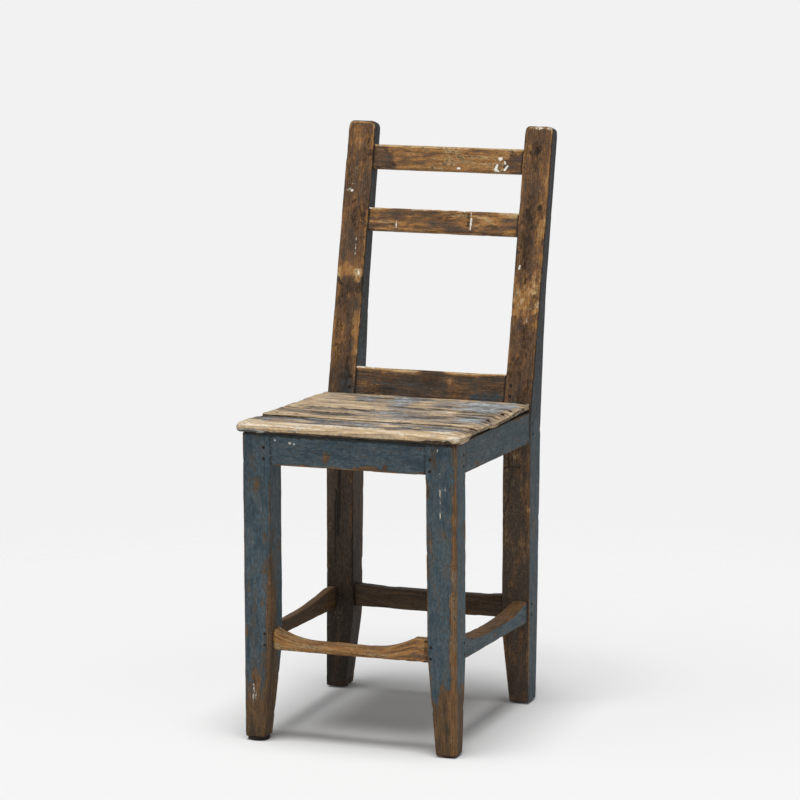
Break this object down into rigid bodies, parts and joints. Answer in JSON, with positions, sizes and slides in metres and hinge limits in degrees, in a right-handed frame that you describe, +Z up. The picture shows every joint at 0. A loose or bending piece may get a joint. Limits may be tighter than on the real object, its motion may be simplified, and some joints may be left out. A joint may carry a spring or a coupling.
{
  "type": "peeling paint chair",
  "caption": "Small rustic pine side chair with worn blue paint, pegged frame, nailed board seat, hollowed foot rails and a leaning open slat back.",
  "frame": {"origin": "on the floor under the middle of the chair's bounding box", "axes": "+Z up, the chair's front faces -Y, +X to the right seen from the front"},
  "size_m": [0.332, 0.4592, 0.8376],
  "materials": {
    "blue_painted_pine": "matt old blue paint, chipped and rubbed to brown wood at the edges",
    "rubbed_pine": "bare handled pine with dark grime and rests of paint",
    "grimed_pine": "dark brown grimed wood",
    "scrubbed_seat_pine": "scrubbed blond wood with rests of grey-blue paint",
    "peg_wood": "dark end grain",
    "rusted_iron": "dark rusted iron",
    "black_pad": "matt black"
  },
  "bodies": {
    "root": {"front_left_leg": "blue_painted_pine", "front_right_leg": "blue_painted_pine", "rear_left_post": "rubbed_pine", "rear_right_post": "rubbed_pine", "front_apron": "blue_painted_pine", "rear_apron": "grimed_pine", "left_apron": "blue_painted_pine", "right_apron": "blue_painted_pine", "lower_back_rail": "rubbed_pine", "middle_back_rail": "rubbed_pine", "crest_rail": "rubbed_pine", "front_stretcher": "rubbed_pine", "rear_stretcher": "grimed_pine", "left_stretcher": "blue_painted_pine", "right_stretcher": "blue_painted_pine", "seat_front_board": "scrubbed_seat_pine", "seat_middle_board": "scrubbed_seat_pine", "seat_rear_board": "scrubbed_seat_pine", "front_apron_pegs": "peg_wood", "rear_apron_pegs": "peg_wood", "side_apron_pegs": "peg_wood", "back_rail_pegs": "peg_wood", "front_stretcher_pegs": "peg_wood", "rear_stretcher_pegs": "peg_wood", "side_stretcher_pegs": "peg_wood", "seat_nails": "rusted_iron", "front_left_glide": "black_pad", "foot_pads": "black_pad"}
  },
  "joints": []
}
